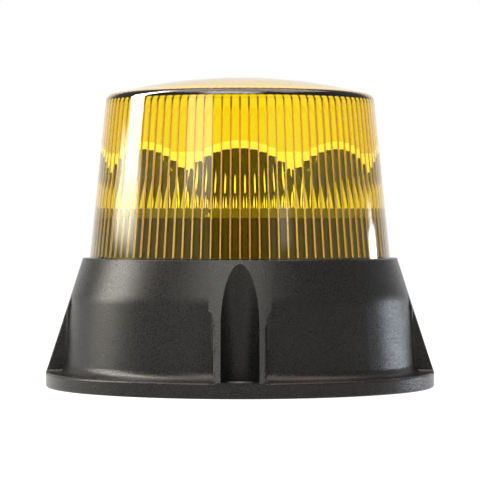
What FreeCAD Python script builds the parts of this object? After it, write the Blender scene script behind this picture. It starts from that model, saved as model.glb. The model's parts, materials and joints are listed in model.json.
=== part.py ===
"""Low-profile amber warning beacon with a ring of eight arched LED mirrors.

The beacon stands on its flange: the origin is the centre of the underside, +Z is up, and -Y is the
front. The round base has a bolt channel at the front, back and sides, between two ribs each, and a
pocket between each pair of channels. The fluted lens screws into the base on a four-start quick
thread. Under it a heat sink carries the LED board, a bright floor and a canopy of eight mirrors, and
the driver board hangs in the closed bay below. All lengths are in millimetres.
"""
import FreeCAD
import Part

import math
import os

V = FreeCAD.Vector
ORIGIN = V(0, 0, 0)
UP = V(0, 0, 1)
FRONT = -90.0  # azimuth of the front, in degrees from +X

# ---- base housing ---------------------------------------------------------------------------
base_height = 54.4
base_flare = 15.7  # how far the flange stands out beyond the rim
flange_thickness = 6.3
rim_wall = 2.6
flange_edge_round = 0.9
rim_edge_round = 0.6
flange_ledge = 7.7  # width of the flange in front of a pocket's wall
pocket_drop = 16.4  # top of a pocket below the rim
pocket_floor_fillet = 4.0
pocket_top_blend = 14.0
rib_spread = 21.0  # width over the two ribs of one bolt channel
rib_edge_round = 0.8
rib_root_fillet = 2.0
rib_foot_fillet = 1.6
bolt_count = 4
bolt_inset = 7.5  # of a bolt hole from the flange's edge
bolt_hole_radius = 3.5
sleeve_wall = 1.5
channel_width = 15.4
channel_wall = 2.8  # wall of the bay behind a bolt channel
bay_wall = 5.2  # between the driver bay and a pocket's foot
lens_channel_depth = 10.4
lens_channel_gap = 0.4  # between the lens skirt and the rim
deck_thickness = 3.0
collar_wall = 2.2
collar_drop = 0.2  # top of the collar below the rim
collar_gap = 1.0  # between the heat sink and the collar

# ---- lens -----------------------------------------------------------------------------------
lens_foot_radius = 63.8
lens_taper = 6.7  # from the foot's radius to the shoulder's
lens_height = 84.9
lens_skirt_height = 9.2
lens_skirt_wall = 2.8
dome_rise = 9.8
dome_radius = 198.0
shoulder_round = 2.2
lens_wall = 3.0  # at the crown of a flute
flute_count = 100
flute_depth = 0.85
inner_corner_round = 2.5

# ---- quick thread between lens and base -------------------------------------------------------
thread_starts = 4
thread_lead = 24.0
thread_height = 2.4  # of a lug and of a rib, along the axis
thread_gap = 0.8  # between a lug and the collar
thread_reach = 1.8  # of a base rib beyond the collar
lug_reach = 2.0  # of a lens lug into the skirt
thread_span = 36.0  # degrees covered by each lug and rib
thread_slack = 0.2  # above a lug when the lens is home
thread_root = 0.5  # how far a lug or rib is bedded in its wall
lug_height = 3.0  # middle of a lug above the foot of the lens

# ---- lens seal --------------------------------------------------------------------------------
seal_thickness = 2.0
seal_width = 3.0
seal_gap = 0.1  # between the seal and the rim

# ---- heat sink --------------------------------------------------------------------------------
heat_sink_height = 27.3
heat_sink_wall = 3.0
heat_sink_top = 4.0
heat_sink_foot = 4.0
heat_sink_foot_width = 10.0
fin_count = 24
fin_thickness = 1.6
fin_length = 12.0
heat_sink_edge_round = 0.5

# ---- LED board --------------------------------------------------------------------------------
pad_thickness = 0.5
board_thickness = 1.6
led_gap = 0.2  # between the board and the skirt of the mirror floor
led_size = 3.2
led_base = 0.9
led_dome_radius = 1.5
led_pair_angle = 10.0

# ---- mirrors ----------------------------------------------------------------------------------
cup_count = 8
floor_plate = 1.8
floor_skirt_wall = 1.6
window_inner_radius = 19.0
window_outer_radius = 28.3
window_width = 14.0
led_window_margin = 3.0  # from the middle of an LED to the end of its window
window_corner = 1.5
key_notch_width = 2.6
key_notch_azimuth = -15.0  # from the front
canopy_height = 22.8
cup_mouth_radius = 33.5
cup_vertex_radius = 15.0
cup_overshoot = 6.0  # of a cup beyond the canopy's edge
arch_band = 14.0  # width of the ring in which the arches stand up
cup_axis_drop = 9.2  # of the mirror axis below the floor
cup_wall = 3.0
well_wall = 4.0
hub_floor = 4.0
well_radius = 13.5

# ---- screws -----------------------------------------------------------------------------------
m3_radius = 1.5
m3_head_radius = 2.75
m3_head_height = 2.0
m3_recess_radius = 1.3
m4_radius = 2.0
m4_head_radius = 3.5
m4_head_height = 2.6
screw_gap = 0.2  # round a shank in a clearance hole
mirror_screw_circle = 9.0
mirror_screw_count = 4
carrier_screw_inset = 5.4  # from the heat sink's side
carrier_screw_count = 4

# ---- driver bay -------------------------------------------------------------------------------
driver_board_inset = 11.6  # from the bay's wall
post_radius = 3.5
board_screw_bite = 6.0
post_length = 9.4
post_inset = 5.0  # from the driver board's edge
riser_width = 20.0
riser_thickness = 1.6
riser_slot_gap = 0.1
socket_length = 24.0
socket_width = 5.0
socket_height = 5.0
socket_slot_depth = 3.5
capacitor_radius = 5.0
capacitor_height = 16.0
capacitor_places = ((-30.0, 20.0), (-18.0, 27.0), (-40.0, 8.0))
inductor_radius = 9.0
inductor_bore = 4.5
inductor_height = 8.0
inductor_place = (28.0, 20.0)
terminal_length = 20.0
terminal_width = 10.0
terminal_height = 11.0
terminal_ways = 4
terminal_hole = 3.2
terminal_place = (26.0, -16.0)
transistor_size = (10.0, 9.0, 4.4)
transistor_count = 4
transistor_spacing = 3.0
transistor_row = -38.0
chip_size = (9.0, 9.0, 1.4)
chip_place = (-24.0, -14.0)
fuse_radius = 2.6
fuse_length = 14.0
fuse_place = (-34.0, -11.0)

# ---- bottom cover -----------------------------------------------------------------------------
cover_recess = 1.2
cover_thickness = 3.0
gasket_thickness = 1.0
cover_ledge = 2.4  # width of the ledge under the cover's rim
cover_gap = 0.3
boss_wall_at_hole = 3.6
cover_screw_count = 8
cover_screw_inset = 5.2  # from the bay's wall
cover_boss_radius = 4.4
cover_boss_height = 14.0
insert_radius = 2.4
insert_length = 6.0
cover_screw_length = 8.0
head_clearance = 0.4
grommet_bore = 3.5
grommet_neck_radius = 6.0
grommet_flange_radius = 9.0
grommet_flange = 1.0
grommet_tail = 6.0
vent_position = (-34.0, 0.0)
vent_radius = 4.0
vent_head_radius = 6.0
vent_head = 0.9
vent_tail = 4.0
vent_slot = 1.0

# ---- levels and radii that follow ---------------------------------------------------------------
deck_top = base_height - lens_channel_depth
deck_bottom = deck_top - deck_thickness
lens_channel_radius = lens_foot_radius + lens_channel_gap
lens_shoulder_radius = lens_foot_radius - lens_taper
lens_foot = deck_top + seal_thickness
lens_apex = lens_foot + lens_height
lens_shoulder = lens_apex - dome_rise
skirt_inner = lens_foot_radius - lens_skirt_wall
skirt_top = lens_foot + lens_skirt_height
lug_inner = skirt_inner - lug_reach
collar_outer = lug_inner - thread_gap
collar_inner = collar_outer - collar_wall
collar_top = base_height - collar_drop
rib_outer = collar_outer + thread_reach
lug_middle = lens_foot + lug_height
thread_rib_middle = lug_middle + thread_height + thread_slack
rim_radius = lens_channel_radius + rim_wall
flange_radius = rim_radius + base_flare
pocket_foot_radius = flange_radius - flange_ledge
pocket_top_height = base_height - pocket_drop
bolt_circle_radius = flange_radius - bolt_inset
bay_radius = pocket_foot_radius - bay_wall
module_radius = collar_inner - collar_gap
deck_opening_radius = module_radius - heat_sink_foot_width
carrier_screw_circle = module_radius - carrier_screw_inset
heat_sink_top_level = deck_top + heat_sink_height
led_board_bottom = heat_sink_top_level + pad_thickness
led_board_top = led_board_bottom + board_thickness
led_pair_radius = window_inner_radius + led_window_margin
led_single_radius = window_outer_radius - led_window_margin
led_board_radius = module_radius - floor_skirt_wall - led_gap
floor_top = led_board_top + floor_plate
canopy_top = floor_top + canopy_height
cup_axis_level = floor_top - cup_axis_drop
cup_depth = module_radius - cup_vertex_radius
cup_focal = cup_mouth_radius ** 2 / (4 * cup_depth)
cover_bottom = cover_recess
cover_top = cover_bottom + cover_thickness
gasket_top = cover_top + gasket_thickness
rebate_radius = bay_radius + cover_ledge
bay_boss_radius = channel_width / 2 + channel_wall
rebate_boss_radius = bolt_hole_radius + sleeve_wall + boss_wall_at_hole
driver_board_top = deck_bottom - post_length
driver_board_height = driver_board_top - board_thickness
driver_board_radius = bay_radius - driver_board_inset
post_circle = driver_board_radius - post_inset
cover_screw_circle = bay_radius - cover_screw_inset
spacing = 360.0 / bolt_count


# ---- shape helpers ------------------------------------------------------------------------------
def cylinder(radius, bottom, top, x=0.0, y=0.0):
    return Part.makeCylinder(radius, top - bottom, V(x, y, bottom), UP)


def ring(inner, outer, bottom, top, x=0.0, y=0.0):
    return cylinder(outer, bottom, top, x, y).cut(cylinder(inner, bottom - 1, top + 1, x, y))


def block(length, width, bottom, top, x=0.0, y=0.0):
    return Part.makeBox(length, width, top - bottom, V(x - length / 2, y - width / 2, bottom))


def revolve(points):
    """A closed outline of (radius, height) corners, turned round the Z axis."""
    wire = Part.makePolygon([V(r, 0, z) for r, z in points + points[:1]])
    return Part.Face(wire).revolve(ORIGIN, UP, 360)


def turned(shape, angle):
    """A copy of the shape, turned round the Z axis by that many degrees."""
    copy = shape.copy()
    copy.rotate(ORIGIN, UP, angle)
    return copy


def around(shape, count, start=0.0):
    """That many copies of the shape, evenly spaced round the Z axis."""
    return [turned(shape, start + i * 360.0 / count) for i in range(count)]


def circle_edges(shape, radius, height, tolerance=0.01):
    """The shape's circular edges round the Z axis with that radius, at that height."""
    found = []
    for edge in shape.Edges:
        if edge.Degenerated or not isinstance(edge.Curve, Part.Circle):
            continue
        circle = edge.Curve
        if abs(circle.Radius - radius) < tolerance and circle.Center.distanceToPoint(V(0, 0, height)) < tolerance:
            found.append(edge)
    return found


def highest_circle(shape):
    """The highest circular edge of the shape."""
    circles = [e for e in shape.Edges if not e.Degenerated and isinstance(e.Curve, Part.Circle)]
    return max(circles, key=lambda e: e.Curve.Center.z)


def rounded(shape, *rims):
    """The shape with each (radius, height, fillet) rim rounded, one after the other."""
    for radius, height, fillet in rims:
        shape = shape.makeFillet(fillet, circle_edges(shape, radius, height))
    return shape


def bossed_disc(radius, boss_radius, bottom, top):
    """A disc with a round bite round each mounting hole."""
    bites = around(cylinder(boss_radius, bottom - 1, top + 1, bolt_circle_radius), bolt_count, FRONT)
    return cylinder(radius, bottom, top).cut(bites)


def helical_rib(inner, outer, middle, azimuth):
    """A thread segment of rectangular section on the right-hand helix of the quick thread."""
    rise = thread_lead * thread_span / 360.0
    start = middle - rise / 2
    path = Part.makeHelix(thread_lead, rise, inner)
    path.translate(V(0, 0, start))
    corners = [(inner, -1), (outer, -1), (outer, 1), (inner, 1), (inner, -1)]
    section = Part.makePolygon([V(r, 0, start + side * thread_height / 2) for r, side in corners])
    rib = Part.Wire(path.Edges).makePipeShell([section], True, True)
    return turned(rib, azimuth - thread_span / 2)


def screw(radius, length, head_radius, head_height):
    """A round-headed screw with a socket, pointing down, with its head's seat at the origin."""
    head = cylinder(head_radius, 0, head_height)
    head = head.makeFillet(head_height * 0.35, circle_edges(head, head_radius, head_height))
    socket = Part.makePolygon([V(m3_recess_radius * math.cos(a), m3_recess_radius * math.sin(a), head_height * 0.4)
                               for a in (math.radians(60 * i) for i in range(7))])
    socket = Part.Face(socket).extrude(V(0, 0, head_height))
    return head.cut(socket).fuse(cylinder(radius, -length, 0)).removeSplitter()


def upside_down(shape):
    copy = shape.copy()
    copy.rotate(ORIGIN, V(1, 0, 0), 180)
    return copy


def placed(shape, x, y, z):
    copy = shape.copy()
    copy.translate(V(x, y, z))
    return copy


# ---- base housing ---------------------------------------------------------------------------------
def cone_radius(height):
    """Radius of the base's sloping side at that height."""
    share = (height - flange_thickness) / (base_height - flange_thickness)
    return flange_radius + (rim_radius - flange_radius) * share


def pocketed_body():
    """The round base as it is in the pockets: flange, steep wall and sloping crown."""
    body = revolve([
        (0, 0),
        (flange_radius, 0),
        (flange_radius, flange_thickness),
        (pocket_foot_radius, flange_thickness),
        (cone_radius(pocket_top_height), pocket_top_height),
        (rim_radius, base_height),
        (0, base_height),
    ])
    return rounded(
        body,
        (flange_radius, 0, flange_edge_round),
        (flange_radius, flange_thickness, flange_edge_round),
        (pocket_foot_radius, flange_thickness, pocket_floor_fillet),
        (cone_radius(pocket_top_height), pocket_top_height, pocket_top_blend),
        (rim_radius, base_height, rim_edge_round),
    )


def cone_body(foot):
    return revolve([(0, foot), (cone_radius(foot), foot), (rim_radius, base_height), (0, base_height)])


def channel_ribs():
    """One pair of ribs, along +X, as a block that fills the pocket out to the sloping side."""
    reach = flange_radius + 5
    start = bay_radius - 5
    block_body = Part.makeBox(reach - start, rib_spread, base_height, V(start, -rib_spread / 2, 0))
    ribs = block_body.common(cone_body(0.0))
    outer = [e for e in ribs.Edges
             if e.BoundBox.ZLength > base_height * 0.9 and e.BoundBox.XMax > flange_radius]
    ribs = ribs.makeFillet(rib_edge_round, outer)
    return ribs.common(rounded(cylinder(flange_radius, 0, base_height), (flange_radius, 0, flange_edge_round)))


def rib_roots():
    """The concave roots of one pair of ribs, along +X, where they run into the pocket walls."""
    wall = (pocket_foot_radius + cone_radius(pocket_top_height)) / 2
    side = rib_spread / 2
    centre_y = side + rib_root_fillet
    centre_x = math.sqrt((wall + rib_root_fillet) ** 2 - centre_y ** 2)
    roots = []
    for sign in (-1, 1):
        corner = Part.makeBox(rib_root_fillet + 6, rib_root_fillet + 1, base_height,
                              V(centre_x - rib_root_fillet - 6, side - 1, 0))
        corner = corner.cut(cylinder(rib_root_fillet, -1, base_height + 1, centre_x, centre_y))
        if sign < 0:
            corner = corner.mirror(ORIGIN, V(0, 1, 0))
        roots.append(corner.common(cone_body(0.0)))
    return roots


def rib_feet():
    """The concave feet of one pair of ribs, along +X, where they run out on the flange."""
    side = rib_spread / 2
    start = pocket_foot_radius - 2
    length = flange_radius - flange_edge_round - start
    top = flange_thickness + rib_foot_fillet
    feet = []
    for sign in (-1, 1):
        foot = Part.makeBox(length, rib_foot_fillet + 1, rib_foot_fillet + 1, V(start, side - 1, flange_thickness - 1))
        foot = foot.cut(Part.makeCylinder(rib_foot_fillet, length + 2, V(start - 1, side + rib_foot_fillet, top),
                                          V(1, 0, 0)))
        if sign < 0:
            foot = foot.mirror(ORIGIN, V(0, 1, 0))
        feet.append(foot.common(cone_body(0.0)))
    return feet


def bolt_channel():
    """The air of one bolt channel, along +X, above the flange."""
    half = channel_width / 2
    round_end = cylinder(half, flange_thickness, base_height + 5, bolt_circle_radius)
    mouth = Part.makeBox(flange_radius, channel_width, base_height + 5 - flange_thickness,
                         V(bolt_circle_radius, -half, flange_thickness))
    return round_end.fuse(mouth)


def driver_bay():
    """The air inside the base, under the deck, with the rebate for the cover."""
    bay = bossed_disc(bay_radius, bay_boss_radius, gasket_top, deck_bottom)
    rebate = bossed_disc(rebate_radius, rebate_boss_radius, -1, gasket_top)
    return bay.fuse(rebate)


def cover_boss():
    """One screw boss for the cover, along +X, with the web that joins it to the bay's wall."""
    top = gasket_top + cover_boss_height
    web = Part.makeBox(bay_radius + 1 - cover_screw_circle, 2 * cover_boss_radius, cover_boss_height,
                       V(cover_screw_circle, -cover_boss_radius, gasket_top))
    return cylinder(cover_boss_radius, gasket_top, top, cover_screw_circle).fuse(web)


def board_post():
    return cylinder(post_radius, driver_board_top, deck_bottom, post_circle)


def base_housing():
    body = turned(pocketed_body(), FRONT + spacing / 2)
    rib_pair = channel_ribs().fuse(rib_roots() + rib_feet()).removeSplitter()
    body = body.fuse(around(rib_pair, bolt_count, FRONT)).removeSplitter()
    body = body.cut(around(bolt_channel(), bolt_count, FRONT))
    body = body.cut(cylinder(lens_channel_radius, deck_top, base_height + 1))
    body = body.cut(driver_bay())
    collar = ring(collar_inner, collar_outer, deck_top, collar_top)
    thread = around(helical_rib(collar_outer - thread_root, rib_outer, thread_rib_middle, 45.0), thread_starts)
    bosses = around(cover_boss(), cover_screw_count, FRONT + spacing / 4)
    posts = around(board_post(), bolt_count, FRONT)
    body = body.fuse([collar] + thread + bosses + posts)
    body = body.cut(cylinder(deck_opening_radius, deck_bottom - 1, deck_top + 1))
    insert_hole = cylinder(insert_radius, gasket_top - 1, gasket_top + insert_length, cover_screw_circle)
    pilot = cylinder(m3_radius + screw_gap, gasket_top, gasket_top + cover_boss_height - 2, cover_screw_circle)
    post_hole = cylinder(m3_radius, driver_board_top - 1, deck_bottom - 2, post_circle)
    sleeve_hole = cylinder(bolt_hole_radius + sleeve_wall, -1, flange_thickness + 1, bolt_circle_radius)
    carrier_hole = cylinder(m4_radius + screw_gap, deck_bottom - 1, deck_top + 1, carrier_screw_circle)
    holes = around(insert_hole.fuse(pilot), cover_screw_count, FRONT + spacing / 4)
    holes += around(post_hole, bolt_count, FRONT)
    holes += around(sleeve_hole, bolt_count, FRONT)
    holes += around(carrier_hole, carrier_screw_count, 45.0)
    return body.cut(holes).removeSplitter()


def mounting_sleeves():
    sleeve = ring(bolt_hole_radius, bolt_hole_radius + sleeve_wall, 0, flange_thickness, bolt_circle_radius)
    return around(sleeve, bolt_count, FRONT)


# ---- lens -------------------------------------------------------------------------------------------
def wall_radius(height):
    """Outer radius of the lens wall at that height."""
    share = (height - skirt_top) / (lens_shoulder - skirt_top)
    return lens_foot_radius + (lens_shoulder_radius - lens_foot_radius) * share


def dome_solid(radius, apex, foot, reach):
    """A cylinder of that reach, from foot up to a spherical top of that radius with its apex there."""
    ball = Part.makeSphere(radius, V(0, 0, apex - radius))
    return cylinder(reach, foot, apex + 1).common(ball)


def lens_outside():
    top = lens_apex + 5
    wall = revolve([
        (0, lens_foot),
        (lens_foot_radius, lens_foot),
        (lens_foot_radius, skirt_top),
        (wall_radius(top), top),
        (0, top),
    ])
    body = wall.common(dome_solid(dome_radius, lens_apex, lens_foot - 1, lens_foot_radius + 5))
    return body.makeFillet(shoulder_round, [highest_circle(body)])


def flute_ring(height):
    """The closed outline of all the flutes at that height: arcs that swell inwards between cusps."""
    cusp = wall_radius(height) - lens_wall + flute_depth
    crown = wall_radius(height) - lens_wall
    step = 2 * math.pi / flute_count
    arcs = []
    for i in range(flute_count):
        a, b, c = (math.radians(FRONT) + (i + share) * step for share in (0, 0.5, 1))
        ends = [V(cusp * math.cos(t), cusp * math.sin(t), height) for t in (a, c)]
        middle = V(crown * math.cos(b), crown * math.sin(b), height)
        arcs.append(Part.Arc(ends[0], middle, ends[1]).toShape())
    return Part.Wire(arcs)


def lens_inside():
    """The air under the lens: fluted sides, a domed ceiling and a plain bore through the skirt."""
    top = lens_apex + 2
    flutes = Part.makeLoft([flute_ring(skirt_top), flute_ring(top)], True, True)
    envelope = revolve([
        (0, skirt_top),
        (wall_radius(skirt_top) - lens_wall + flute_depth + 1, skirt_top),
        (wall_radius(top) - lens_wall + flute_depth + 1, top),
        (0, top),
    ])
    ceiling = dome_solid(dome_radius - lens_wall, lens_apex - lens_wall, skirt_top, lens_foot_radius)
    envelope = envelope.common(ceiling)
    envelope = envelope.makeFillet(inner_corner_round, [highest_circle(envelope)])
    return flutes.common(envelope)


def lens():
    body = lens_outside().cut(lens_inside())
    body = body.cut(cylinder(skirt_inner, lens_foot - 1, skirt_top))
    lug = helical_rib(lug_inner, skirt_inner + thread_root, lug_middle, 45.0)
    return body.fuse(around(lug, thread_starts)).removeSplitter()


def lens_seal():
    outer = lens_channel_radius - seal_gap
    return ring(outer - seal_width, outer, deck_top, lens_foot)


# ---- heat sink and LED board --------------------------------------------------------------------------
def heat_sink():
    body = cylinder(module_radius, deck_top, heat_sink_top_level)
    body = rounded(body, (module_radius, heat_sink_top_level, heat_sink_edge_round))
    inner = module_radius - heat_sink_wall
    ceiling = heat_sink_top_level - heat_sink_top
    body = body.cut(cylinder(inner, deck_top + heat_sink_foot, ceiling))
    body = body.cut(cylinder(deck_opening_radius, deck_top - 1, deck_top + heat_sink_foot + 1))
    fin = Part.makeBox(fin_length + 1, fin_thickness, ceiling - deck_top - heat_sink_foot,
                       V(inner - fin_length, -fin_thickness / 2, deck_top + heat_sink_foot))
    body = body.fuse(around(fin, fin_count, 180.0 / fin_count)).removeSplitter()
    slot = block(socket_length + 1, socket_width + 1, ceiling - 1, heat_sink_top_level + 1)
    mirror_hole = cylinder(m3_radius, ceiling - 1, heat_sink_top_level + 1, mirror_screw_circle)
    carrier_hole = cylinder(m4_radius, deck_top - 1, deck_top + heat_sink_foot + 1, carrier_screw_circle)
    body = body.cut([slot] + around(mirror_hole, mirror_screw_count, 45.0))
    return body.cut(around(carrier_hole, carrier_screw_count, 45.0))


def carrier_screws():
    one = upside_down(screw(m4_radius, deck_thickness + heat_sink_foot, m4_head_radius, m4_head_height))
    return around(placed(one, carrier_screw_circle, 0, deck_bottom), carrier_screw_count, 45.0)


def board_disc(radius, bottom, top):
    """A disc on the heat sink with holes for the mirror screws and the riser socket."""
    hole = cylinder(m3_radius + screw_gap, bottom - 1, top + 1, mirror_screw_circle)
    return cylinder(radius, bottom, top).cut(around(hole, mirror_screw_count, 45.0))


def thermal_pad():
    pad = board_disc(led_board_radius, heat_sink_top_level, led_board_bottom)
    return pad.cut(block(socket_length + 1, socket_width + 1, heat_sink_top_level - 1, led_board_bottom + 1))


def led_board():
    return board_disc(led_board_radius, led_board_bottom, led_board_top)


def led_places():
    """(radius, azimuth) of each LED: a pair near the hub and one further out under each mirror."""
    places = []
    for i in range(cup_count):
        middle = FRONT + i * 360.0 / cup_count
        places.append((led_single_radius, middle))
        places += [(led_pair_radius, middle + side * led_pair_angle) for side in (-1, 1)]
    return places


def led_packages():
    one = block(led_size, led_size, led_board_top, led_board_top + led_base)
    return [turned(placed(one, radius, 0, 0), azimuth) for radius, azimuth in led_places()]


def led_domes():
    top = led_board_top + led_base
    one = Part.makeSphere(led_dome_radius, V(0, 0, top)).common(cylinder(led_size, top, top + led_size))
    return [turned(placed(one, radius, 0, 0), azimuth) for radius, azimuth in led_places()]


# ---- mirrors ------------------------------------------------------------------------------------------
def paraboloid(mouth, overshoot):
    """A solid paraboloid lying along +X, of that radius where it meets the module's side."""
    depth = mouth ** 2 / (4 * cup_focal)
    length = depth + overshoot
    end = math.sqrt(4 * cup_focal * length)
    vertex = module_radius - depth
    arc = Part.BezierCurve()
    arc.setPoles([V(vertex, 0, 0), V(vertex, 0, end / 2), V(vertex + length, 0, end)])
    back = Part.makeLine(V(vertex + length, 0, end), V(vertex + length, 0, 0))
    axis = Part.makeLine(V(vertex + length, 0, 0), V(vertex, 0, 0))
    face = Part.Face(Part.Wire([arc.toShape(), back, axis]))
    solid = face.revolve(ORIGIN, V(1, 0, 0), 360)
    solid.translate(V(0, 0, cup_axis_level))
    return solid


def canopy_well():
    """The air in the top of the canopy: a trumpet that follows the mirrors, down to the hub's floor."""
    level = cup_axis_level + well_wall
    foot = floor_top + hub_floor
    height = canopy_top + 1 - level
    reach = cup_vertex_radius + height ** 2 / (4 * cup_focal)
    arc = Part.BezierCurve()
    arc.setPoles([V(cup_vertex_radius, 0, level), V(cup_vertex_radius, 0, level + height / 2),
                  V(reach, 0, level + height)])
    sides = Part.makePolygon([V(reach, 0, level + height), V(0, 0, level + height), V(0, 0, level),
                              V(cup_vertex_radius, 0, level)])
    trumpet = Part.Face(Part.Wire([arc.toShape()] + sides.Edges)).revolve(ORIGIN, UP, 360)
    trumpet = trumpet.cut(cylinder(reach, level - 1, foot))
    return trumpet.fuse(cylinder(well_radius, foot, canopy_top + 1))


def mirror_canopy():
    body = cylinder(module_radius, floor_top, canopy_top)
    outer = around(paraboloid(cup_mouth_radius + cup_wall, cup_overshoot), cup_count, FRONT)
    inner = around(paraboloid(cup_mouth_radius, cup_overshoot), cup_count, FRONT)
    arch_top = cup_axis_level + cup_mouth_radius + cup_wall + 1
    arches = outer[0].fuse(outer[1:]).common(cylinder(module_radius, floor_top, arch_top))
    body = body.cut(canopy_well())
    core = cylinder(module_radius - arch_band, floor_top, arch_top)
    body = body.fuse(arches.cut(core))
    body = body.cut(inner)
    hole = cylinder(m3_radius + screw_gap, floor_top - 1, floor_top + hub_floor + 1, mirror_screw_circle)
    return body.cut(around(hole, mirror_screw_count, 45.0)).removeSplitter()


def mirror_floor():
    body = cylinder(module_radius, heat_sink_top_level, floor_top)
    body = body.cut(cylinder(led_board_radius + led_gap, heat_sink_top_level - 1, led_board_top))
    length = window_outer_radius - window_inner_radius
    window = block(length, window_width, led_board_top - 1, floor_top + 1,
                   (window_outer_radius + window_inner_radius) / 2)
    uprights = [e for e in window.Edges if e.BoundBox.ZLength > floor_plate]
    window = window.makeFillet(window_corner, uprights)
    notch = block(module_radius, key_notch_width, heat_sink_top_level + 0.5, floor_top + 1, module_radius * 1.4)
    hole = cylinder(m3_radius + screw_gap, led_board_top - 1, floor_top + 1, mirror_screw_circle)
    cuts = around(window, cup_count, FRONT) + [turned(notch, FRONT + key_notch_azimuth)]
    return body.cut(cuts + around(hole, mirror_screw_count, 45.0))


def mirror_screws():
    length = hub_floor + floor_plate + board_thickness + pad_thickness + heat_sink_top
    one = screw(m3_radius, length, m3_head_radius, m3_head_height)
    return around(placed(one, mirror_screw_circle, 0, floor_top + hub_floor), mirror_screw_count, 45.0)


# ---- driver board -------------------------------------------------------------------------------------
def driver_board():
    board = cylinder(driver_board_radius, driver_board_height, driver_board_top)
    hole = cylinder(m3_radius + screw_gap, driver_board_height - 1, driver_board_top + 1, post_circle)
    return board.cut(around(hole, bolt_count, FRONT))


def board_screws():
    one = upside_down(screw(m3_radius, board_thickness + board_screw_bite, m3_head_radius, m3_head_height))
    return around(placed(one, post_circle, 0, driver_board_height), bolt_count, FRONT)


def socket(bottom, opening_up):
    """An edge connector that holds one end of the riser board."""
    body = block(socket_length, socket_width, bottom, bottom + socket_height)
    low = bottom + socket_height - socket_slot_depth if opening_up else bottom - 1
    high = bottom + socket_height + 1 if opening_up else bottom + socket_slot_depth
    gap = 2 * riser_slot_gap
    return body.cut(block(riser_width + gap, riser_thickness + gap, low, high))


def riser_sockets():
    return [socket(driver_board_top, True), socket(led_board_bottom - socket_height, False)]


def riser_board():
    bottom = driver_board_top + socket_height - socket_slot_depth
    top = led_board_bottom - socket_height + socket_slot_depth
    return block(riser_width, riser_thickness, bottom, top)


def capacitors():
    bottom = driver_board_height - capacitor_height
    one = rounded(cylinder(capacitor_radius, bottom, driver_board_height), (capacitor_radius, bottom, 0.8))
    return [placed(one, x, y, 0) for x, y in capacitor_places]


def inductor():
    bottom = driver_board_height - inductor_height
    coil = ring(inductor_bore, inductor_radius, bottom, driver_board_height, *inductor_place)
    return coil.makeFillet(1.5, [e for e in coil.Edges if isinstance(e.Curve, Part.Circle)])


def transistors():
    length, width, height = transistor_size
    pitch = length + transistor_spacing
    first = -pitch * (transistor_count - 1) / 2
    return [block(length, width, driver_board_height - height, driver_board_height, first + i * pitch, transistor_row)
            for i in range(transistor_count)]


def terminal_block():
    bottom = driver_board_height - terminal_height
    x, y = terminal_place
    body = block(terminal_length, terminal_width, bottom, driver_board_height, x, y)
    pitch = terminal_length / terminal_ways
    for i in range(terminal_ways):
        at = x - terminal_length / 2 + (i + 0.5) * pitch
        body = body.cut(block(terminal_hole, terminal_width / 2, bottom + 2, bottom + 2 + terminal_hole,
                              at, y - terminal_width / 2))
        body = body.cut(cylinder(terminal_hole / 2, bottom - 1, bottom + 1.2, at, y + 1))
    return body


def controller_chip():
    length, width, height = chip_size
    return block(length, width, driver_board_top, driver_board_top + height, *chip_place)


def fuse_link():
    x, y = fuse_place
    start = V(x, y - fuse_length / 2, driver_board_height - fuse_radius)
    return Part.makeCylinder(fuse_radius, fuse_length, start, V(0, 1, 0))


# ---- bottom cover -------------------------------------------------------------------------------------
def cover_outline(bottom, top):
    return bossed_disc(rebate_radius - cover_gap, rebate_boss_radius + cover_gap, bottom, top)


def bottom_cover():
    body = cover_outline(cover_bottom, cover_top)
    hole = cylinder(m3_radius + screw_gap, cover_bottom - 1, cover_top + 1, cover_screw_circle)
    seat = cylinder(m3_head_radius + head_clearance, cover_bottom - 1, cover_bottom + m3_head_height / 2,
                    cover_screw_circle)
    body = body.cut(around(hole.fuse(seat), cover_screw_count, FRONT + spacing / 4))
    body = body.cut(cylinder(grommet_neck_radius, cover_bottom - 1, cover_top + 1))
    return body.cut(cylinder(vent_radius, cover_bottom - 1, cover_top + 1, *vent_position))


def cover_gasket():
    body = cover_outline(cover_top, gasket_top)
    body = body.cut(bossed_disc(bay_radius, bay_boss_radius, cover_top - 1, gasket_top + 1))
    return body


def cover_screws():
    one = upside_down(screw(m3_radius, cover_screw_length, m3_head_radius, m3_head_height))
    seat = cover_bottom + m3_head_height / 2
    return around(placed(one, cover_screw_circle, 0, seat), cover_screw_count, FRONT + spacing / 4)


def cover_inserts():
    one = ring(m3_radius, insert_radius, gasket_top, gasket_top + insert_length, cover_screw_circle)
    return around(one, cover_screw_count, FRONT + spacing / 4)


def cable_grommet():
    low = cover_bottom - grommet_flange
    body = cylinder(grommet_flange_radius, low, cover_bottom)
    body = body.fuse(cylinder(grommet_neck_radius, cover_bottom, cover_top))
    body = body.fuse(cylinder(grommet_flange_radius, cover_top, cover_top + grommet_flange))
    tail_top = cover_top + grommet_flange + grommet_tail
    tail = Part.makeCone(grommet_neck_radius + 1, grommet_bore + 1.2, grommet_tail,
                         V(0, 0, cover_top + grommet_flange), UP)
    body = body.fuse(tail).removeSplitter()
    return body.cut(cylinder(grommet_bore, low - 1, tail_top + 1))


def breather_vent():
    x, y = vent_position
    body = cylinder(vent_head_radius, cover_bottom - vent_head, cover_bottom, x, y)
    body = body.fuse(cylinder(vent_radius, cover_bottom, cover_top + vent_tail, x, y))
    slots = [block(vent_slot, 2 * vent_head_radius + 2, cover_bottom - vent_head - 1, cover_bottom - vent_head / 2,
                   x + side * 2 * vent_slot, y) for side in (-1, 0, 1)]
    return body.removeSplitter().cut(slots)


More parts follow.
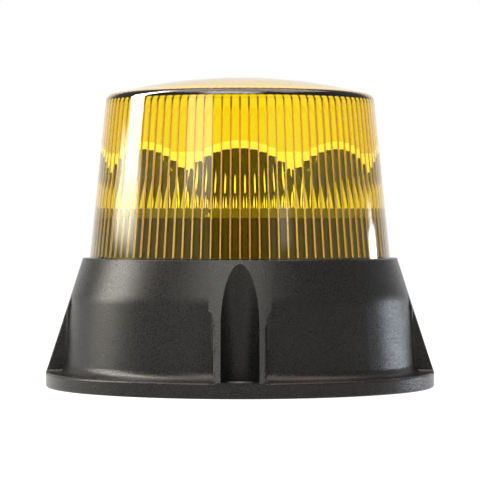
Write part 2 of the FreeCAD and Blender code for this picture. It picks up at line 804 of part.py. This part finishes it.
# ---- export ---------------------------------------------------------------------------------------------
PARTS = {
    "base_housing": base_housing,
    "mounting_sleeves": mounting_sleeves,
    "bottom_cover": bottom_cover,
    "cover_gasket": cover_gasket,
    "cover_screws": cover_screws,
    "cover_inserts": cover_inserts,
    "cable_grommet": cable_grommet,
    "breather_vent": breather_vent,
    "driver_board": driver_board,
    "board_screws": board_screws,
    "capacitors": capacitors,
    "inductor": inductor,
    "transistors": transistors,
    "terminal_block": terminal_block,
    "controller_chip": controller_chip,
    "fuse_link": fuse_link,
    "riser_sockets": riser_sockets,
    "riser_board": riser_board,
    "heat_sink": heat_sink,
    "carrier_screws": carrier_screws,
    "thermal_pad": thermal_pad,
    "led_board": led_board,
    "led_packages": led_packages,
    "led_domes": led_domes,
    "mirror_floor": mirror_floor,
    "mirror_canopy": mirror_canopy,
    "mirror_screws": mirror_screws,
    "lens_seal": lens_seal,
    "lens": lens,
}


def main():
    os.makedirs("parts", exist_ok=True)
    for name, make in PARTS.items():
        made = make()
        shape = Part.makeCompound(made) if isinstance(made, list) else made
        shape.exportStep(os.path.join("parts", name + ".step"))
        solids = len(shape.Solids)
        print(f"{name}: {solids} solid(s), {shape.Volume / 1000:.2f} cm3, valid {shape.isValid()}")


main()
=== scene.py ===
"""Looks for the amber warning beacon: its grained black base, clear fluted lens and ring of mirrors."""

import json
import math

import bmesh
import bpy
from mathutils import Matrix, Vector

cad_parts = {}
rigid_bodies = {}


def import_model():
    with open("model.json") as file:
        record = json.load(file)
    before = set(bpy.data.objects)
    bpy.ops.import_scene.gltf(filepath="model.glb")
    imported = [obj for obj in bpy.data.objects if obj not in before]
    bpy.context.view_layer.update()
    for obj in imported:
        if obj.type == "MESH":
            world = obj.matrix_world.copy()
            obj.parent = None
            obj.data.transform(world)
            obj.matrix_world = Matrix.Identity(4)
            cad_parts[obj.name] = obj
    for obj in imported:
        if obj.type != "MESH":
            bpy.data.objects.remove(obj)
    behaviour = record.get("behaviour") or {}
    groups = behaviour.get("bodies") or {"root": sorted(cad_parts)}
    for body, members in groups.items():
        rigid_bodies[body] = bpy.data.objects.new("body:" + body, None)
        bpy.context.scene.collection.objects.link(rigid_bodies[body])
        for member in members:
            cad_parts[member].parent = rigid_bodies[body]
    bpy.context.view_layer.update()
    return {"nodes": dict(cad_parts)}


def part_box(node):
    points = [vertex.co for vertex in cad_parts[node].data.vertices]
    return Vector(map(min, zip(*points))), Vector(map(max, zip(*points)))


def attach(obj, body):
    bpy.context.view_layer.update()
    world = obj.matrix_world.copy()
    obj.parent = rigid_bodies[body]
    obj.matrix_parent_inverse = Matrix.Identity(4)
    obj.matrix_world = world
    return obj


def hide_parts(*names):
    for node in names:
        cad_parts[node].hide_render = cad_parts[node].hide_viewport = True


for leftover in list(bpy.data.objects):
    bpy.data.objects.remove(leftover)
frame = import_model()
nodes = frame["nodes"]

MM = 0.001
lens_low, lens_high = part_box("lens")
lens_foot = lens_low.z
lens_apex = lens_high.z
lens_foot_radius = lens_high.x
canopy_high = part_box("mirror_canopy")[1]

# The lens, as moulded
flute_count = 100
flute_steps = 16
skirt_height = 9.2 * MM
skirt_bore = lens_foot_radius - 2.8 * MM
taper = 6.7 * MM
dome_rise = 9.2 * MM
dome_radius = 216 * MM
lens_wall = 3.0 * MM
flute_depth = 0.85 * MM
shoulder_round = 3.2 * MM
ceiling_round = 2.5 * MM
thread_lead = 24 * MM
thread_span = math.radians(36)
lug_count = 4
first_lug = math.radians(45)
lug_height = 2.4 * MM
lug_reach = 2.0 * MM
lug_middle = 3.0 * MM
lug_bedding = 0.6 * MM
lug_tip_share = 0.6  # height of a lug's tip, as a share of its root's
skirt_edge = 0.5 * MM
pole_ring = 0.4 * MM
search_depth = 12 * MM
search_step = 0.005 * MM


# ---- shader maths -----------------------------------------------------------------------------------
class Wire:
    """A node's output that can be written in sums: each operator adds its Math node."""

    def __init__(self, tree, node, output):
        self.tree = tree
        self.node = node
        self.socket = node.outputs[output] if node.outputs else None

    def beside(self, output):
        """Another output of the same node."""
        return Wire(self.tree, self.node, output)

    def __add__(self, other):
        return self.tree.maths("ADD", self, other)

    def __rsub__(self, other):
        return self.tree.maths("SUBTRACT", other, self)

    def __mul__(self, other):
        return self.tree.maths("MULTIPLY", self, other)

    def __pow__(self, other):
        return self.tree.maths("POWER", self, other)

    __radd__ = __add__
    __rmul__ = __mul__


class NodeTree:
    """The nodes of a material or of the world, added one by one."""

    def __init__(self, tree):
        self.tree = tree
        tree.nodes.clear()

    def set(self, socket, value):
        if isinstance(value, Wire):
            self.tree.links.new(value.socket, socket)
        elif socket.type == "RGBA":
            socket.default_value = (*value, 1.0)
        else:
            socket.default_value = value

    def add(self, kind, settings, sockets, output=0):
        """A new node, with its settings made first, then the values or links of its sockets."""
        node = self.tree.nodes.new(kind)
        for name, value in settings.items():
            setattr(node, name, value)
        for name, value in sockets.items():
            self.set(node.inputs[name], value)
        return Wire(self, node, output)

    def maths(self, operation, first, second=0.0):
        return self.add("ShaderNodeMath", {"operation": operation}, {0: first, 1: second})

    def remap(self, value, low, high, to_low=0.0, to_high=1.0, curve="LINEAR"):
        """Goes from to_low to to_high as the value goes from low to high."""
        sockets = {"Value": value, "From Min": low, "From Max": high, "To Min": to_low, "To Max": to_high}
        return self.add("ShaderNodeMapRange", {"interpolation_type": curve}, sockets)


class Finish(NodeTree):
    """One material, built node by node round its Principled shader."""

    def __init__(self, name, **plain):
        self.material = bpy.data.materials.new(name)
        self.material.use_nodes = True
        super().__init__(self.material.node_tree)
        self.shader = self.add("ShaderNodeBsdfPrincipled", {}, {})
        self.output = self.add("ShaderNodeOutputMaterial", {}, {"Surface": self.shader})
        self.surface(**plain)
        self.place = self.add("ShaderNodeTexCoord", {}, {}, "Object")

    def noise(self, scale, detail=3.0, roughness=0.55, where=None):
        sockets = {"Vector": where or self.place, "Scale": scale, "Detail": detail, "Roughness": roughness}
        return self.add("ShaderNodeTexNoise", {}, sockets, "Fac")

    def stretched(self, along):
        return self.add("ShaderNodeMapping", {}, {"Vector": self.place, "Scale": along})

    def axes(self):
        """The point's x, y and z, in metres."""
        x = self.add("ShaderNodeSeparateXYZ", {}, {0: self.place}, "X")
        return x, x.beside("Y"), x.beside("Z")

    def radius(self):
        """The distance from the beacon's axis."""
        x, y, _ = self.axes()
        return (x * x + y * y) ** 0.5

    def between(self, share, low, high):
        """A colour that runs from low to high as the share goes from 0 to 1."""
        return self.add("ShaderNodeMix", {"data_type": "RGBA"}, {"Factor": share, 6: low, 7: high}, 2)

    def surface(self, **sockets):
        """Sets or links inputs of the Principled shader."""
        for name, value in sockets.items():
            self.set(self.shader.node.inputs[name.replace("_", " ")], value)
        return self

    def show(self, shader, output="Surface"):
        self.set(self.output.node.inputs[output], shader)

    def bumps(self, height, distance):
        return self.surface(Normal=self.add("ShaderNodeBump", {}, {"Distance": distance, "Height": height}))


# ---- finishes -----------------------------------------------------------------------------------------
def grey(level):
    return (level, level, level)


def housing_finish():
    f = Finish("grained_black_plastic", Specular_IOR_Level=0.22)
    pits = f.add("ShaderNodeTexVoronoi", {}, {"Vector": f.place, "Scale": 1900.0}, "Distance")
    grain = f.remap(f.noise(2600, 0.0), 0.35, 0.65)
    f.surface(Base_Color=f.between(grain, grey(0.003), grey(0.008)),
              Roughness=f.remap(grain, 0.0, 1.0, 0.24, 0.34))
    return f.bumps(pits, 0.00006)


def cover_finish():
    f = Finish("smooth_black_cover", Specular_IOR_Level=0.4)
    f.surface(Base_Color=f.between(f.noise(80), (0.012, 0.012, 0.013), (0.02, 0.02, 0.021)),
              Roughness=f.remap(f.noise(400), 0.3, 0.7, 0.42, 0.5))
    return f.bumps(f.noise(2600, 2.0), 0.00006)


def lens_finish():
    """Clear amber, with a fine pale line down each root between two flutes."""
    f = Finish("clear_amber", Base_Color=(1.0, 1.0, 1.0), IOR=1.585, Transmission_Weight=1.0, Roughness=0.0,
               Coat_Roughness=0.75, Coat_IOR=2.05, Coat_Tint=(0.9, 0.98, 0.82))
    x, y, z = f.axes()
    turn = f.maths("ARCTAN2", y, x)
    root = f.remap(f.maths("COSINE", turn * flute_count), 0.86, 1.0)
    over_mirrors = f.remap(z, canopy_high.z - 8 * MM, canopy_high.z + 4 * MM, 1.0, 0.15)
    below_shoulder = f.remap(z, lens_apex - dome_rise - 1.5 * MM, lens_apex - dome_rise, 1.0, 0.0)
    f.surface(Coat_Weight=root * over_mirrors * below_shoulder)
    f.show(f.add("ShaderNodeVolumeAbsorption", {}, {"Color": (1.0, 0.94, 0.0), "Density": 800.0}), "Volume")
    return f.bumps(f.noise(45, 1.0), 0.00002)


def metal_finish(name, light, dark, rough, streak=(1.0, 1.0, 1.0), scale=300, bump=0.00002):
    f = Finish(name, Metallic=1.0)
    grain = f.noise(scale, 3.0, where=f.stretched(streak))
    f.surface(Base_Color=f.between(grain, dark, light),
              Roughness=f.remap(grain, 0.3, 0.7, rough * 0.8, rough * 1.2))
    return f.bumps(grain, bump)


def steel_finish(name, light=(0.68, 0.68, 0.67), dark=(0.52, 0.52, 0.51), rough=0.3):
    return metal_finish(name, light, dark, rough, scale=500)


def moulded_finish(name, light, dark, rough, scale=300, bump=0.00004, **plain):
    f = Finish(name, **plain)
    grain = f.noise(scale, 3.0)
    f.surface(Base_Color=f.between(f.noise(scale / 8), dark, light),
              Roughness=f.remap(grain, 0.3, 0.7, rough * 0.85, min(1.0, rough * 1.15)))
    return f.bumps(grain, bump)


def board_finish(name, mask, under, edge_radius=None):
    """Solder mask over a laminate; a board with an edge radius shows bare metal from there outwards."""
    f = Finish(name, Roughness=0.35)
    weave = f.add("ShaderNodeTexChecker", {}, {"Vector": f.place, "Scale": 1400.0}, "Fac")
    blotch = f.noise(120)
    colour = f.between(weave * 0.25 + blotch * 0.4, mask, under)
    if edge_radius:
        bare = f.remap(f.radius(), edge_radius - 0.2 * MM, edge_radius)
        colour = f.between(bare, colour, (0.8, 0.8, 0.78))
    f.surface(Base_Color=colour, Roughness=f.remap(blotch, 0.3, 0.7, 0.3, 0.42))
    return f.bumps(weave, 0.00001)


def dome_finish():
    f = Finish("clear_silicone", Base_Color=(1.0, 0.97, 0.88), IOR=1.41, Transmission_Weight=1.0,
               Roughness=0.02)
    return f.bumps(f.noise(900, 1.0), 0.00001)


def canopy_finish(rim_radius):
    """Bright metal in the cups; the uncoated front rim is satin, with a little painted glow, since it is no
    lamp.
    """
    f = Finish("mirror_canopy_coating", Emission_Strength=0.5)
    bare = f.remap(f.radius(), rim_radius - 0.4 * MM, rim_radius - 0.2 * MM)
    cloud = f.noise(220, 3.0)
    coat = f.between(cloud, (0.84, 0.84, 0.83), (0.9, 0.9, 0.89))
    f.surface(Metallic=1 - bare, Base_Color=f.between(bare, coat, grey(0.62)),
              # Painted glow: the bare rim's cool emission colour, at strength 0.5, brightens it though it
              # is no lamp.
              Emission_Color=f.between(bare, grey(0.0), (0.75, 0.82, 1.0)),
              Roughness=f.remap(cloud, 0.3, 0.7, 0.03, 0.07) + bare * 0.4)
    return f.bumps(cloud, 0.00001)


finishes = {
    "base_housing": housing_finish(),
    "bottom_cover": cover_finish(),
    "mounting_sleeves": metal_finish("zinc_sleeve", (0.66, 0.67, 0.66), (0.5, 0.51, 0.5), 0.35),
    "cover_gasket": moulded_finish("gasket_rubber", grey(0.03), grey(0.02), 0.7, 600),
    "cover_screws": steel_finish("stainless_head", (0.7, 0.7, 0.69), (0.55, 0.55, 0.54), 0.28),
    "cover_inserts": metal_finish("insert_brass", (0.78, 0.58, 0.26), (0.6, 0.42, 0.18), 0.3),
    "cable_grommet": moulded_finish("grommet_rubber", grey(0.028), grey(0.018), 0.65, 700),
    "breather_vent": moulded_finish("vent_moulding", (0.05, 0.05, 0.055), (0.035, 0.035, 0.04), 0.3, 500),
    "driver_board": board_finish("driver_board_mask", (0.015, 0.13, 0.05), (0.03, 0.2, 0.08)),
    "board_screws": steel_finish("board_screw_steel"),
    "capacitors": moulded_finish("capacitor_sleeve", (0.05, 0.06, 0.1), (0.03, 0.035, 0.06), 0.3, 400),
    "inductor": moulded_finish("wound_ferrite", (0.09, 0.09, 0.1), (0.05, 0.05, 0.055), 0.6, 350, 0.0001),
    "transistors": moulded_finish("transistor_epoxy", grey(0.03), grey(0.018), 0.5, 900),
    "terminal_block": moulded_finish("terminal_moulding", (0.04, 0.36, 0.16), (0.03, 0.28, 0.12), 0.4, 300),
    "controller_chip": moulded_finish("chip_epoxy", grey(0.03), grey(0.02), 0.5, 900),
    "fuse_link": moulded_finish("fuse_ceramic", (0.82, 0.8, 0.74), (0.74, 0.72, 0.66), 0.25, 300),
    "riser_sockets": moulded_finish("socket_moulding", grey(0.05), grey(0.03), 0.45, 500),
    "riser_board": board_finish("riser_board_mask", (0.015, 0.13, 0.05), (0.03, 0.2, 0.08)),
    "heat_sink": metal_finish("black_anodised", (0.052, 0.038, 0.04), (0.032, 0.023, 0.024), 0.42,
                              (1.0, 1.0, 14.0), 160),
    "carrier_screws": steel_finish("carrier_screw_steel"),
    "thermal_pad": moulded_finish("heat_pad", (0.5, 0.5, 0.54), (0.42, 0.42, 0.46), 0.8, 500),
    "led_board": board_finish("led_board_mask", (0.04, 0.04, 0.042), (0.06, 0.06, 0.062),
                              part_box("led_board")[1].x - 0.3 * MM),
    # Painted glow: the LEDs are not lit, and this faint emission brightens the phosphor in place of lamp
    # light.
    "led_packages": moulded_finish("led_phosphor", (0.95, 0.85, 0.35), (0.9, 0.78, 0.25), 0.4, 800,
                                   Emission_Color=(1.0, 0.86, 0.3), Emission_Strength=0.8),
    "led_domes": dome_finish(),
    "mirror_floor": moulded_finish("floor_moulding", (0.11, 0.1, 0.1), (0.085, 0.08, 0.08), 0.35, 400),
    "mirror_canopy": canopy_finish(canopy_high.x),
    "mirror_screws": steel_finish("mirror_screw_steel", (0.7, 0.7, 0.69), (0.55, 0.55, 0.54), 0.28),
    "lens_seal": moulded_finish("seal_rubber", grey(0.03), grey(0.018), 0.6, 600),
    "lens": lens_finish(),
}


def dress(piece, finish):
    piece.data.materials.clear()
    piece.data.materials.append(finish.material)


for name, finish in finishes.items():
    dress(nodes[name], finish)


# ---- modelling helpers --------------------------------------------------------------------------------
def start_piece():
    if bpy.context.object and bpy.context.object.mode != "OBJECT":
        bpy.ops.object.mode_set(mode="OBJECT")
    bpy.ops.object.select_all(action="DESELECT")


def select_where(piece, chosen):
    """Selects the vertices for which chosen(place) is true."""
    bpy.ops.mesh.select_mode(type="VERT")
    bpy.ops.mesh.select_all(action="DESELECT")
    mesh = bmesh.from_edit_mesh(piece.data)
    for v in mesh.verts:
        v.select_set(bool(chosen(v.co)))
    mesh.select_flush(True)
    bmesh.update_edit_mesh(piece.data)


def open_rim():
    """Selects the edges that have one face only."""
    bpy.ops.mesh.select_all(action="DESELECT")
    bpy.ops.mesh.select_non_manifold()


def extrude_ring(scale, rise, level):
    """Extrudes the selected ring, lifts it and scales it about the lens's axis."""
    bpy.ops.mesh.extrude_edges_move(TRANSFORM_OT_translate={"value": (0, 0, rise)})
    bpy.ops.transform.resize(value=(scale, scale, 1), center_override=(0, 0, level + rise))


def round_ring(piece, radius, share):
    """Draws the selected ring that share of the way to a true circle of that radius."""
    mesh = bmesh.from_edit_mesh(piece.data)
    for v in mesh.verts:
        if v.select:
            own = math.hypot(v.co.x, v.co.y)
            stretch = (own + (radius - own) * share) / own
            v.co.x, v.co.y = v.co.x * stretch, v.co.y * stretch
    bmesh.update_edit_mesh(piece.data)


def lathe_up(points):
    """Carries the selected ring through each (radius, height) from the first one, where it stands."""
    for (r0, z0), (r1, z1) in zip(points, points[1:]):
        extrude_ring(r1 / r0, z1 - z0, z0)


def arc_points(centre, radius, start, stop, count):
    """Points on an arc in the (radius, height) plane; angles in degrees from the outward direction."""
    cr, cz = centre
    angles = [math.radians(start + (stop - start) * i / count) for i in range(count + 1)]
    return [(cr + radius * math.cos(angle), cz + radius * math.sin(angle)) for angle in angles]


def wall_radius(level):
    top = lens_apex - dome_rise
    foot = lens_foot + skirt_height
    return lens_foot_radius - taper * (level - foot) / (top - foot)


def rounded_corner(offset, fillet, steps=5):
    """The arc that joins the lens's wall to its dome, both moved inwards by offset.

    Its centre is looked for up the wall, at the level where it lies a fillet's radius from both."""
    slope = math.atan2(taper, lens_apex - dome_rise - lens_foot - skirt_height)
    ball = dome_radius - offset
    centre_z = lens_apex - dome_radius
    best = None
    level = lens_apex - dome_rise - search_depth
    while level < lens_apex:
        r = wall_radius(level) - offset - fillet / math.cos(slope)
        gap = math.hypot(r, level - centre_z) - (ball - fillet)
        if best is None or abs(gap) < best[0]:
            best = (abs(gap), r, level)
        level += search_step
    _, r, level = best
    end = math.degrees(math.atan2(level - centre_z, r))
    return arc_points((r, level), fillet, math.degrees(slope), end, steps)


def dome_points(start, offset, steps):
    """Points on the dome from the radius start to close by the pole."""
    ball = dome_radius - offset
    centre_z = lens_apex - dome_radius
    radii = [start + (pole_ring - start) * i / steps for i in range(1, steps + 1)]
    return [(r, centre_z + math.sqrt(ball * ball - r * r)) for r in radii]


# ---- the fluted lens ------------------------------------------------------------------------------------
def arc_of_one_flute(crown, level):
    """A chain of vertices that swells towards the axis between two cusps, for a crown at that radius."""
    cusp = crown + flute_depth
    half_pitch = math.pi / flute_count
    half_chord = cusp * math.sin(half_pitch)
    sag = cusp * math.cos(half_pitch) - crown
    flute_radius = (half_chord ** 2 + sag ** 2) / (2 * sag)
    swing = math.asin(half_chord / flute_radius)
    bpy.ops.mesh.primitive_plane_add(size=MM, location=(0, 0, 0))
    piece = bpy.context.object
    bpy.ops.object.mode_set(mode="EDIT")
    bpy.ops.mesh.select_all(action="SELECT")
    bpy.ops.mesh.merge(type="CENTER")
    bpy.ops.transform.translate(value=(cusp * math.cos(half_pitch), -half_chord, level))
    middle = (crown + flute_radius, 0, level)
    bpy.ops.mesh.spin(steps=flute_steps, angle=2 * swing, center=middle, axis=(0, 0, 1))
    bpy.ops.mesh.select_all(action="SELECT")
    bpy.ops.mesh.remove_doubles(threshold=0.001 * MM)
    return piece


def lens_interior():
    """The fluted wall and the ceiling over it, from the top of the skirt to the pole."""
    foot = lens_foot + skirt_height
    start_piece()
    piece = arc_of_one_flute(lens_foot_radius - lens_wall, foot)
    bpy.ops.mesh.select_all(action="SELECT")
    corner = rounded_corner(lens_wall, ceiling_round)
    lathe_up([(lens_foot_radius - lens_wall, foot), corner[0]])
    bpy.ops.mesh.select_all(action="SELECT")
    bpy.ops.mesh.spin(steps=flute_count, angle=2 * math.pi, center=(0, 0, 0), axis=(0, 0, 1), dupli=True)
    bpy.ops.mesh.select_all(action="SELECT")
    bpy.ops.mesh.remove_doubles(threshold=0.005 * MM)
    piece.rotation_euler.z = math.pi / flute_count
    bpy.ops.object.mode_set(mode="OBJECT")
    bpy.ops.object.transform_apply(location=True, rotation=True, scale=True)
    bpy.ops.object.mode_set(mode="EDIT")
    select_where(piece, lambda co: abs(co.z - corner[0][1]) < 0.01 * MM)
    # Each step round the corner draws the ring nearer to a circle, so that the flutes run out there
    for i, ((r0, z0), (r1, z1)) in enumerate(zip(corner, corner[1:])):
        extrude_ring(r1 / r0, z1 - z0, z0)
        round_ring(piece, r1, 1 / (len(corner) - 1 - i))
    lathe_up([corner[-1]] + dome_points(corner[-1][0], lens_wall, 8))
    close_pole()
    bpy.ops.object.mode_set(mode="OBJECT")
    return piece


def lens_exterior():
    """The skirt's bore, its foot, the smooth wall, the shoulder and the dome."""
    top = lens_foot + skirt_height
    start_piece()
    bpy.ops.mesh.primitive_circle_add(vertices=flute_count * 4, radius=skirt_bore)
    piece = bpy.context.object
    bpy.ops.object.mode_set(mode="EDIT")
    bpy.ops.mesh.select_all(action="SELECT")
    bpy.ops.transform.translate(value=(0, 0, top))
    inner_foot = [(skirt_bore, lens_foot + skirt_edge), (skirt_bore + skirt_edge, lens_foot)]
    outer_foot = [(lens_foot_radius - skirt_edge, lens_foot), (lens_foot_radius, lens_foot + skirt_edge)]
    corner = rounded_corner(0, shoulder_round, 8)
    lathe_up([(skirt_bore, top)] + inner_foot + outer_foot + [(lens_foot_radius, top)]
             + corner + dome_points(corner[-1][0], 0, 14))
    close_pole()
    bpy.ops.object.mode_set(mode="OBJECT")
    return piece


def close_pole():
    """Draws the smallest ring at the top together."""
    select_where(bpy.context.object, lambda co: math.hypot(co.x, co.y) < 1.5 * pole_ring)
    bpy.ops.mesh.merge(type="CENTER")


def lens_lug(azimuth):
    """One quick-thread lug, sunk a little into the skirt so that the two can be made one."""
    rise = thread_lead * thread_span / (2 * math.pi)
    reach = lug_reach + lug_bedding
    middle = lens_foot + lug_middle - rise / 2
    start_piece()
    bpy.ops.mesh.primitive_plane_add(size=1, rotation=(math.pi / 2, 0, 0))
    piece = bpy.context.object
    piece.scale = (reach, lug_height, 1)
    piece.location = (skirt_bore - lug_reach + reach / 2, 0, middle)
    bpy.ops.object.transform_apply(location=True, rotation=True, scale=True)
    bpy.ops.object.mode_set(mode="EDIT")
    select_where(piece, lambda co: co.x < skirt_bore - lug_reach / 2)
    bpy.ops.transform.resize(value=(1, 1, lug_tip_share), center_override=(0, 0, middle))
    bpy.ops.object.mode_set(mode="OBJECT")
    screw = piece.modifiers.new("helix", "SCREW")
    screw.angle = thread_span
    screw.screw_offset = rise
    screw.steps = screw.render_steps = 12
    bpy.ops.object.modifier_apply(modifier="helix")
    piece.rotation_euler.z = azimuth - thread_span / 2
    bpy.ops.object.transform_apply(location=True, rotation=True, scale=True)
    bpy.ops.object.mode_set(mode="EDIT")
    bpy.ops.mesh.select_all(action="SELECT")
    bpy.ops.mesh.remove_doubles(threshold=0.01 * MM)
    open_rim()
    bpy.ops.mesh.fill_holes(sides=4)
    bpy.ops.mesh.select_all(action="SELECT")
    bpy.ops.mesh.normals_make_consistent(inside=False)
    bpy.ops.object.mode_set(mode="OBJECT")
    return piece


def join(first, *others):
    start_piece()
    for piece in (first, *others):
        piece.select_set(True)
    bpy.context.view_layer.objects.active = first
    bpy.ops.object.join()
    return first


def fluted_lens():
    piece = join(lens_exterior(), lens_interior())
    bpy.ops.object.mode_set(mode="EDIT")
    open_rim()
    bpy.ops.mesh.bridge_edge_loops()
    bpy.ops.mesh.select_all(action="SELECT")
    bpy.ops.mesh.normals_make_consistent(inside=False)
    bpy.ops.object.mode_set(mode="OBJECT")
    lugs = join(*(lens_lug(first_lug + i * math.tau / lug_count) for i in range(lug_count)))
    start_piece()
    piece.select_set(True)
    bpy.context.view_layer.objects.active = piece
    union = piece.modifiers.new("lugs", "BOOLEAN")
    union.operation = "UNION"
    union.object = lugs
    union.solver = "FAST"
    bpy.ops.object.modifier_apply(modifier="lugs")
    bpy.data.objects.remove(lugs)
    bpy.ops.object.shade_smooth_by_angle(angle=math.radians(32))
    piece.name = "fluted_lens"
    return piece


lens = fluted_lens()
dress(lens, finishes["lens"])
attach(lens, "lens")
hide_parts("lens")


# ---- camera, room and lamps ------------------------------------------------------------------------------
camera_place = Vector((0, -1023 * MM, 69 * MM))
camera_aim = Vector((0, 0, 62 * MM))
lamp_aim = Vector((0, 0, 70 * MM))
lamp_distance = 1.4
floor_size = 6


def camera():
    data = bpy.data.cameras.new("camera")
    data.lens = 180
    data.sensor_width = 36
    data.clip_start, data.clip_end = 0.01, 50
    view = bpy.data.objects.new("camera", data)
    bpy.context.scene.collection.objects.link(view)
    view.location = camera_place
    view.rotation_euler = (camera_aim - camera_place).to_track_quat("-Z", "Y").to_euler()
    bpy.context.scene.camera = view


def softbox(name, azimuth, elevation, width, height, radiance, colour, soft):
    """A rectangular lamp whose edges fade over the shares of its width and height in soft.

    Azimuth 0 is behind the camera, and 90 to the camera's right."""
    start_piece()
    bpy.ops.mesh.primitive_plane_add(size=1)
    panel = bpy.context.object
    panel.name = name
    panel.scale = (width, height, 1)
    bpy.ops.object.transform_apply(location=False, rotation=False, scale=True)
    f = Finish(name)
    glow = radiance
    for across, size, edge in zip(f.axes(), (width, height), soft):
        inset = size / 2 - f.maths("ABSOLUTE", across)
        glow = glow * f.remap(inset, 0.0, edge * size, curve="SMOOTHSTEP")
    light = f.add("ShaderNodeEmission", {}, {"Color": colour, "Strength": glow})
    clear = f.add("ShaderNodeBsdfTransparent", {}, {})
    f.show(f.add("ShaderNodeAddShader", {}, {0: light, 1: clear}))
    dress(panel, f)
    a, e = math.radians(azimuth), math.radians(elevation)
    bearing = Vector((math.sin(a) * math.cos(e), -math.cos(a) * math.cos(e), math.sin(e)))
    panel.location = lamp_aim + lamp_distance * bearing
    panel.rotation_euler = (lamp_aim - panel.location).to_track_quat("Z", "Y").to_euler()
    panel.visible_camera = panel.visible_transmission = panel.visible_shadow = False


def room(level, inside, behind, sides, gap):
    """Plain white to the eye and through the lens, with a dimmer room in front of it in reflections.

    level lights matt surfaces in the open, and inside those within the lens. Reflections go from the
    dimmer room to white between the two values of the direction's Y in behind. In front they go from a
    dark gap to sides, between the two values of its X in gap."""
    world = bpy.data.worlds.new("room")
    bpy.context.scene.world = world
    world.use_nodes = True
    tree = NodeTree(world.node_tree)
    by_eye = tree.add("ShaderNodeLightPath", {}, {}, "Is Camera Ray")
    reflected = by_eye.beside("Is Glossy Ray")
    seen = tree.maths("MAXIMUM", by_eye, by_eye.beside("Is Transmission Ray"))
    direction = tree.add("ShaderNodeTexCoord", {}, {}, "Generated")
    x = tree.add("ShaderNodeSeparateXYZ", {}, {0: direction}, "X")
    back = tree.remap(x.beside("Y"), *behind, curve="SMOOTHSTEP")
    front = tree.remap(tree.maths("ABSOLUTE", x), *gap, 0.04, sides, curve="SMOOTHSTEP")
    scattered = tree.maths("MINIMUM", by_eye.beside("Diffuse Depth"), 1.0)
    direct = seen * tree.remap(scattered, 0.0, 1.0, 1.0, inside)
    mirrored = tree.maths("MAXIMUM", back, front) * reflected
    shaped = tree.maths("MAXIMUM", direct, mirrored)
    plain = tree.add("ShaderNodeBackground", {}, {"Color": grey(1.0), "Strength": level})
    varied = tree.add("ShaderNodeBackground", {}, {"Color": grey(1.0), "Strength": shaped})
    either = tree.maths("MAXIMUM", seen, reflected)
    mix = tree.add("ShaderNodeMixShader", {}, {0: either, 1: plain, 2: varied})
    tree.add("ShaderNodeOutputWorld", {}, {"Surface": mix})


def pale_floor():
    """Nearly white, and lifted further to the eye and in reflections, so that only a soft shadow shows."""
    start_piece()
    bpy.ops.mesh.primitive_plane_add(size=floor_size, location=(0, 0, 0))
    floor = bpy.context.object
    floor.name = "floor"
    f = Finish("pale_floor", Roughness=0.9, Specular_IOR_Level=0.1)
    f.surface(Base_Color=f.between(f.noise(3), grey(0.86), grey(0.9)))
    by_eye = f.add("ShaderNodeLightPath", {}, {}, "Is Camera Ray")
    seen = f.maths("MAXIMUM", by_eye, by_eye.beside("Is Glossy Ray"))
    seen = f.maths("MAXIMUM", seen, by_eye.beside("Is Transmission Ray"))
    white = f.add("ShaderNodeEmission", {}, {})
    f.show(f.add("ShaderNodeMixShader", {}, {0: seen * 0.8, 1: f.shader, 2: white}))
    dress(floor, f)


camera()
room(level=1.0, inside=4.2, behind=(0.55, 0.95), sides=0.3, gap=(0.3, 0.42))
pale_floor()
# Each lamp: azimuth, elevation, width, height, radiance, colour and fading share of its two sizes
softbox("left_window", -97, 33, 0.46, 1.6, 25.0, (1.0, 0.96, 0.86), (0.1, 0.3))
softbox("left_glow", -100, 7, 0.9, 0.26, 8.0, (1.0, 0.96, 0.75), (0.3, 0.3))
softbox("left_front", -33, 15, 0.56, 0.36, 2.6, (1.0, 0.97, 0.95), (0.1, 0.3))
softbox("right_front", 34, 7, 0.3, 0.14, 1.4, (1.0, 0.95, 0.95), (0.3, 0.3))
softbox("right_window", 121, -3, 0.36, 0.32, 22.0, (0.76, 0.86, 1.0), (0.3, 0.1))
softbox("right_glow", 121, 0, 0.22, 0.28, 4.5, (0.95, 0.97, 1.0), (0.3, 0.15))
softbox("overhead", 0, 86, 2.6, 1.9, 4.4, (1.0, 0.8, 0.72), (0.2, 0.15))
softbox("front_band", -8, 42, 1.4, 0.9, 9.6, (0.94, 0.95, 0.88), (0.3, 0.2))

bpy.context.scene.view_settings.view_transform = "Standard"
